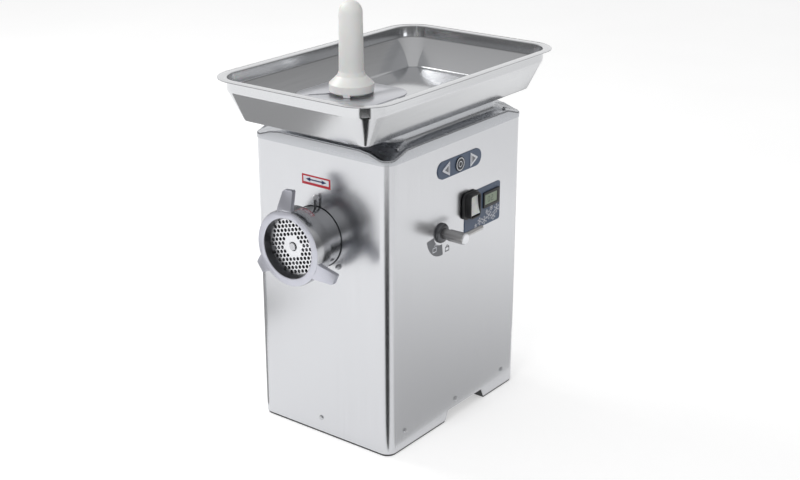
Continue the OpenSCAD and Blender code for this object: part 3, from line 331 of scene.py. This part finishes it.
def front(x, z):
    """Local places on the front: across, up and outwards."""
    return lambda a, b, c: (x + a, FRONT_Y - c, z + b)


def flat(name, outlines, put, low_at, high_at, material, body, *replaced):
    """Thin printed shapes: each outline as a closed prism between two heights."""
    points, faces = [], []
    for outline in outlines:
        n, at = len(outline), len(points)
        points += [put(a, b, low_at) for a, b in outline] + [put(a, b, high_at) for a, b in outline]
        faces.append(tuple(at + i for i in reversed(range(n))))
        faces.append(tuple(at + n + i for i in range(n)))
        faces += [(at + i, at + (i + 1) % n, at + n + (i + 1) % n, at + n + i) for i in range(n)]
    return piece(name, points, faces, material, body, *replaced, weld=False)


def bar(x0, y0, x1, y1, wide):
    """The outline of a straight stroke between two points."""
    length = math.hypot(x1 - x0, y1 - y0) or 1
    nx, ny = -(y1 - y0) / length * wide / 2, (x1 - x0) / length * wide / 2
    return [(x0 + nx, y0 + ny), (x0 - nx, y0 - ny), (x1 - nx, y1 - ny), (x1 + nx, y1 + ny)]


def arc_bars(x, y, radius, start, end, wide, steps=20):
    """A curved strip: one outline, or two halves where it goes all the way round."""
    if end - start >= 360:
        middle = (start + end) / 2
        return (arc_bars(x, y, radius, start, middle, wide, steps)
                + arc_bars(x, y, radius, middle, end, wide, steps))
    turn = [math.radians(start + (end - start) * i / steps) for i in range(steps + 1)]
    outer = [(x + (radius + wide / 2) * math.cos(a), y + (radius + wide / 2) * math.sin(a)) for a in turn]
    inner = [(x + (radius - wide / 2) * math.cos(a), y + (radius - wide / 2) * math.sin(a)) for a in turn]
    return [outer + inner[::-1]]


# ---- cover and tray ----

def cover_height(x, y):
    """Height of the folded edge: lower towards each corner."""
    away = math.hypot(abs(x) - COVER_X, abs(y) - COVER_Y)
    t = min(max((away - 12) / 42, 0), 1)
    return 9.5 + 10.5 * t * t * (3 - 2 * t)


cover_loops = []
for inset, part, drop in ((1.6, 0, 0.4), (0, 0, 0.2), (0, 1, 3.2), (0.4, 1, 1.5), (1.3, 1, 0.4), (3.0, 1, 0)):
    loop = corner_loop(COVER_X - inset, COVER_Y - inset, 19 - inset)
    cover_loops.append([(x, y, COVER_Z + (cover_height(x, y) - drop if part else drop)) for x, y in loop])
edge = corner_loop(140, 189, 16)
for inset, blend, rise in ((9, 0.45, 0.4), (14, 0.8, 1.4), (17.5, 1, 3.0)):
    loop = corner_loop(COVER_X - inset, COVER_Y - inset * 2.2, 22)
    cover_loops.append([(p[0], p[1], (COVER_Z + cover_height(*q)) * (1 - blend) + STEP_Z * blend + rise)
                        for p, q in zip(loop, edge)])
for out, z in ((1.2, 534), (0.3, 537), (0, 541), (0, 544), (-0.6, 546.3), (-1.9, 547.5), (-3.6, PAD_Z)):
    cover_loops.append([(x, y, z) for x, y in corner_loop(123 + out, 150 + out, 30 + out)])
pad = corner_loop(119, 146, 26)
cover_loops.append([(x, y, PAD_Z) for x, y in hole_loop(pad, AXIS_X, THROAT_Y, 39.5)])
cover_loops.append([(x, y, PAD_Z - 4) for x, y in hole_loop(pad, AXIS_X, THROAT_Y, COVER_HOLE)])
for inset, z in ((21.4, 542), (21.6, 537), (21.6, 533)):
    loop = corner_loop(COVER_X - inset, COVER_Y - inset * 2.05, 29.5)
    if z == 542:
        cover_loops.append([(x, y, z) for x, y in hole_loop(loop, AXIS_X, THROAT_Y, COVER_HOLE)])
    cover_loops.append([(x, y, z) for x, y in loop])
for inset, blend, drop in ((17, 0.9, 1.6), (8, 0.4, 1.8), (3.2, 0, 2.0), (1.8, 0, 4.0)):
    far_in = inset > 7
    loop = corner_loop(COVER_X - inset, COVER_Y - inset * (2.2 if far_in else 1), 22.5 if far_in else 17.5)
    cover_loops.append([(p[0], p[1], (COVER_Z + cover_height(*q)) * (1 - blend) + STEP_Z * blend - drop)
                        for p, q in zip(loop, edge)])
piece("cover_skin", *skin(cover_loops, True), COVER, "machine", "top_cover")

# The tray's section: distance out from the inner outline, and height.
TRAY = [(-42, TRAY_LOW), (-29, TRAY_LOW), (-27, 548.4), (-25.6, 549.4), (-24.5, 551.3), (-1.0, 598.4),
        (-0.3, 600.0), (0, 601.8), (0, 617.2), (0.4, 618.7), (1.4, 619.6), (2.8, 619.9), (13.6, 619.9),
        (14.6, 620.0), (15, 620.4), (14.8, 620.9), (14.2, 621.1), (1.6, 621.1), (0.2, 620.8), (-0.8, 620.0),
        (-1.2, 618.7), (-1.2, 601.9), (-1.5, 600.2), (-2.2, 598.6), (-25.4, 552.8), (-26.8, 550.8),
        (-28.6, 549.6), (-31, TRAY_FLOOR), (-42, TRAY_FLOOR)]
tray_loops = [[(x, y, z) for x, y in corner_loop(TRAY_X + o, TRAY_Y + o, TRAY_R + o)] for o, z in TRAY]
floor_edge = corner_loop(TRAY_X - 42, TRAY_Y - 42, 1)
tray_loops.append([(x, y, TRAY_FLOOR) for x, y in hole_loop(floor_edge, AXIS_X, THROAT_Y, 36.4)])
tray_loops.append([(x, y, 548.9) for x, y in hole_loop(floor_edge, AXIS_X, THROAT_Y, 35.7)])
tray_loops.append([(x, y, TRAY_LOW) for x, y in hole_loop(floor_edge, AXIS_X, THROAT_Y, 35.6)])
piece("tray_skin", *skin(tray_loops, True), PAN, "tray", "tray")


# ---- pieces with rounded edges ----

for node, width in (("ring_nut", 0.8), ("switch_body", 0.5), ("thermometer", 0.5), ("lever_boss", 0.4),
                    ("lock_lever", 0.5), ("lever_rod", 0.4), ("guard_plate", 0.3)):
    soften(node, width, body_of[node])

# The nut's mouth takes the dark metal inside its bore as painted shade, and its collar's side is turned. Its
# front and lugs are blasted.
collar = bpy.data.objects["ring_nut_soft"]
collar.data.materials.append(TURNED)
collar.data.materials.append(DARK_METAL)
for face in collar.data.polygons:
    away = math.hypot(face.center.x - AXIS_X * MM, face.center.z - AXIS_Z * MM)
    # faces inside the bore get the dark metal: painted shade
    if away < 0.0507 and face.normal.y > -0.9:
        face.material_index = 2
    elif face.normal.y > -0.6 and away < 0.0655:
        face.material_index = 1

# The lock lever is a steel sleeve with a ground end.
sleeve = bpy.data.objects["lock_lever_soft"]
sleeve.data.materials[0] = SLEEVE
sleeve.data.materials.append(GROUND)
for face in sleeve.data.polygons:
    if face.center.x > SIDE_X * MM + 0.0482:
        face.material_index = 1

# The index pin's upper end is ground.
pin = nodes["index_pin"]
pin.data.materials.append(GROUND)
for face in pin.data.polygons:
    if face.center.z > AXIS_Z * MM + 0.0655:
        face.material_index = 1


# ---- prints ----

put = front(AXIS_X, 458)
flat("label_border", [[(-30, -8.5), (30, -8.5), (30, 8.5), (-30, 8.5)]], put, 0.05, 0.25, RED,
     "machine", "labels")
flat("label_field", [[(-26.8, -4.0), (26.8, -4.0), (26.8, 5.8), (-26.8, 5.8)]], put, 0.25, 0.32, WHITE,
     "machine")
flat("label_arrow", [bar(-13, 0.9, 13, 0.9, 2.2), [(-22, 0.9), (-12, -2.6), (-12, 4.4)],
                     [(22, 0.9), (12, 4.4), (12, -2.6)]], put, 0.32, 0.38, BLUE, "machine")

put = side(-49.5, 361)
flat("lock_sector", arc_bars(0, 0, 30.5, 188, 277, 19, 40), put, 0.05, 0.22, GREY, "machine")


def padlock(x, y, shackle_x, shackle_y, start):
    """The outline of a padlock, with its shackle's arc from start to 180 degrees."""
    return [bar(x - 5, y - 4.5, x + 5, y - 4.5, 1.8), bar(x - 5, y + 2.5, x + 5, y + 2.5, 1.8),
            bar(x - 5, y - 5, x - 5, y + 3, 1.3), bar(x + 5, y - 5, x + 5, y + 3, 1.3)] \
        + arc_bars(shackle_x, shackle_y, 3.2, start, 180, 1.3, 12)


flat("lock_open", padlock(-18.5, -24.0, -15.3, -19.4, -10), put, 0.22, 0.3, WHITE, "machine")
flat("lock_closed", padlock(17.5, -32.4, 17.5, -29.9, 0), put, 0.05, 0.2, GREY, "machine")

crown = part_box("button_stop")[1][0] / MM - SIDE_X
flat("stop_ring", arc_bars(0, 0, 10.4, 0, 360, 1.6, 40) + arc_bars(0, 0, 4.6, 0, 360, 1.2, 24),
     side(*KEYPAD), crown, crown + 0.08, WHITE, "button_stop")

for node, way in (("button_back", -1), ("button_forward", 1)):
    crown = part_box(node)[1][0] / MM - SIDE_X
    mark = [[(way * 34, -6), (way * 34, 6), (way * 44, 0)], bar(way * 31.6, -7.5, way * 31.6, 7.5, 1)]
    flat(node + "_mark", mark, side(*KEYPAD), crown, crown + 0.06, GREY, node)


def flake(x, y, reach):
    """A six-armed frost crystal with short side branches."""
    out = []
    for k in range(6):
        a = math.radians(30 + 60 * k)
        out.append(bar(x, y, x + reach * math.cos(a), y + reach * math.sin(a), 1.1))
        mx, my = x + 0.6 * reach * math.cos(a), y + 0.6 * reach * math.sin(a)
        for b in (a + 0.9, a - 0.9):
            out.append(bar(mx, my, mx + 0.36 * reach * math.cos(b), my + 0.36 * reach * math.sin(b), 0.7))
    return out


flakes = []
for x, y, reach in ((-8, -24, 7), (6, -26, 8), (20, -20, 8.5), (33, -25, 8), (43, -14, 8.5), (44, 3, 7),
                    (46, 18, 5.5), (27, -9, 5), (-20, -29, 4), (13, -12, 4)):
    flakes += flake(x, y, reach)
flat("frost_print", flakes, side(70, 373.5), 1.2, 1.28, WHITE, "machine")

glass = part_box("display_lens")[1][0] / MM - SIDE_X


def digit(x, y, lit, tall=9.0, wide=5.0):
    """The lit strokes of a seven-stroke digit."""
    strokes = {"a": (0, tall, wide, tall), "g": (0, tall / 2, wide, tall / 2), "d": (0, 0, wide, 0),
               "f": (0, tall / 2, 0, tall), "b": (wide, tall / 2, wide, tall),
               "e": (0, 0, 0, tall / 2), "c": (wide, 0, wide, tall / 2)}
    return [bar(x + p[0], y + p[1], x + p[2], y + p[3], 1.1) for key, p in strokes.items() if key in lit]


point = bar(7.4, -4.6, 8.6, -4.6, 1.2)
flat("display_digits", digit(-9, -4.5, "abcdef") + digit(0.5, -4.5, "abged") + [point],
     side(92.3, 384.3), glass, glass + 0.05, INK, "machine")


# ---- stage ----

def card(name, corners, material):
    """A flat stage surface that is no part of the object."""
    mesh = bpy.data.meshes.new(name)
    mesh.from_pydata(corners, [], [tuple(range(len(corners)))])
    obj = bpy.data.objects.new(name, mesh)
    mesh.materials.append(material)
    bpy.context.scene.collection.objects.link(obj)
    return obj


def floor_material():
    """White paper that also glows a little where the camera or a reflection sees it."""
    m = Nodes("floor_paper")
    grain = m.noise(3.0, 2.0)
    m.join(m.mix(m.spread(grain, 0.0, 1.0), (0.80, 0.80, 0.80, 1), (0.82, 0.82, 0.82, 1)),
           m.shader.inputs["Base Color"])
    m.set(Roughness=0.9, Specular_IOR_Level=0.1)
    path = m.add("ShaderNodeLightPath")
    seen = m.maths("MAXIMUM", path.outputs["Is Camera Ray"], path.outputs["Is Glossy Ray"])
    seen = m.maths("MAXIMUM", seen, path.outputs["Is Transmission Ray"])
    m.join(m.maths("MULTIPLY", seen, 0.48), m.shader.inputs["Emission Strength"])
    m.set(Emission_Color=(1, 1, 1, 1))
    return m.material


FLOOR_HALF, FLOOR_Z = 30, -0.0006     # in metres
card("floor", [(x * FLOOR_HALF, y * FLOOR_HALF, FLOOR_Z) for x, y in ((-1, -1), (1, -1), (1, 1), (-1, 1))],
     floor_material())


def mirrored_card(name, corners, near, far=None, reach=0.8):
    """A card that only reflections see, a painted reflection glowing from the brightness near to far at its
    reach, or near all over.
    """
    m = Nodes(name + "_painted_reflection")
    where = m.add("ShaderNodeTexCoord")
    length = m.add("ShaderNodeVectorMath", operation="LENGTH")
    m.join(where.outputs["Object"], length.inputs[0])
    glow = m.spread(length.outputs["Value"], near, near if far is None else far, 0.2, reach)
    m.join(glow, m.shader.inputs["Emission Strength"])
    m.set(Base_Color=(0, 0, 0, 1), Emission_Color=(1, 1, 1, 1), Roughness=1.0, Specular_IOR_Level=0.0)
    obj = card(name, corners, m.material)
    obj.visible_camera = False
    obj.visible_diffuse = False
    obj.visible_shadow = False
    obj.visible_transmission = False
    return obj


# Painted reflections: the corner card paints a dark band in the polished corner. The side, left and back
# cards paint the floor's shadow near the machine as painted shadow, with the side card lightening further
# out. The upright one paints a bright wall.
mirrored_card("corner_card", [(0.150, -0.199, 0.0006), (1.50, -0.86, 0.0006), (0.52, -1.64, 0.0006)], 0.03)
mirrored_card("side_card", [(0.16, -0.16, 0.0004), (0.95, 0.1, 0.0004), (1.1, 1.2, 0.0004),
                            (0.2, 1.0, 0.0004)], 0.58, 1.1, 1.05)
mirrored_card("left_card", [(-0.95, -0.6, 0.0006), (-0.42, -0.6, 0.0006), (-0.42, -0.3, 0.0006),
                            (-0.16, -0.2, 0.0006), (-0.16, 0.3, 0.0006), (-0.95, 0.3, 0.0006)], 0.42)
mirrored_card("sky_card", [(-2.9, 1.0, 0.75), (-0.5, 2.9, 0.75), (-0.5, 2.9, 2.6), (-2.9, 1.0, 2.6)], 1.0)
mirrored_card("back_card", [(-0.1, 0.42, 0.0005), (0.19, 0.42, 0.0005), (0.19, 1.3, 0.0005),
                            (-0.1, 1.3, 0.0005)], 0.66)

world = bpy.data.worlds.new("studio")
bpy.context.scene.world = world
world.use_nodes = True
tree = world.node_tree
back = tree.nodes["Background"]
path = tree.nodes.new("ShaderNodeLightPath")
where = tree.nodes.new("ShaderNodeTexCoord")
parts = tree.nodes.new("ShaderNodeSeparateXYZ")
tree.links.new(where.outputs["Generated"], parts.inputs[0])
sky = tree.nodes.new("ShaderNodeMapRange")
sky.interpolation_type = "SMOOTHSTEP"
tree.links.new(parts.outputs["Z"], sky.inputs["Value"])
sky.inputs["From Min"].default_value = 0.1
sky.inputs["From Max"].default_value = 0.7
sky.inputs["To Min"].default_value = 0.2
sky.inputs["To Max"].default_value = 0.62
peak = tree.nodes.new("ShaderNodeMath")
peak.operation = "MAXIMUM"
tree.links.new(path.outputs["Is Camera Ray"], peak.inputs[0])
tree.links.new(path.outputs["Is Transmission Ray"], peak.inputs[1])
shiny = tree.nodes.new("ShaderNodeMix")
tree.links.new(path.outputs["Is Glossy Ray"], shiny.inputs[0])
shiny.inputs[2].default_value = 0.5
tree.links.new(sky.outputs["Result"], shiny.inputs[3])
seen = tree.nodes.new("ShaderNodeMix")
tree.links.new(peak.outputs[0], seen.inputs[0])
tree.links.new(shiny.outputs[0], seen.inputs[2])
seen.inputs[3].default_value = 1.0
back.inputs["Color"].default_value = (1, 1, 1, 1)
tree.links.new(seen.outputs[0], back.inputs["Strength"])


def lamp(name, place, target, size, power):
    """A square area lamp at a place, turned to its target."""
    light = bpy.data.lights.new(name, "AREA")
    light.energy = power
    light.shape = "RECTANGLE"
    light.size = size
    light.size_y = size
    obj = bpy.data.objects.new(name, light)
    obj.location = place
    obj.rotation_euler = (Vector(target) - Vector(place)).to_track_quat("-Z", "Y").to_euler()
    bpy.context.scene.collection.objects.link(obj)
    return obj


lamp("key", (-2.3, -0.3, 2.5), (0, 0, 0.3), 1.3, 30)
fill = lamp("fill", (0.4, -2.6, 2.0), (0, 0, 0.4), 1.4, 26)
fill.visible_glossy = False

camera_data = bpy.data.cameras.new("camera")
camera_data.sensor_width = 36
camera_data.lens = 36 * 1381.6 / 800
camera = bpy.data.objects.new("camera", camera_data)
camera.location = (1.3867, -1.7922, 1.1599)
camera.rotation_euler = Euler((math.radians(90 - 20.763), 0, math.radians(37.36)), "XYZ")
bpy.context.scene.collection.objects.link(camera)
bpy.context.scene.camera = camera
bpy.context.scene.view_settings.view_transform = "Standard"
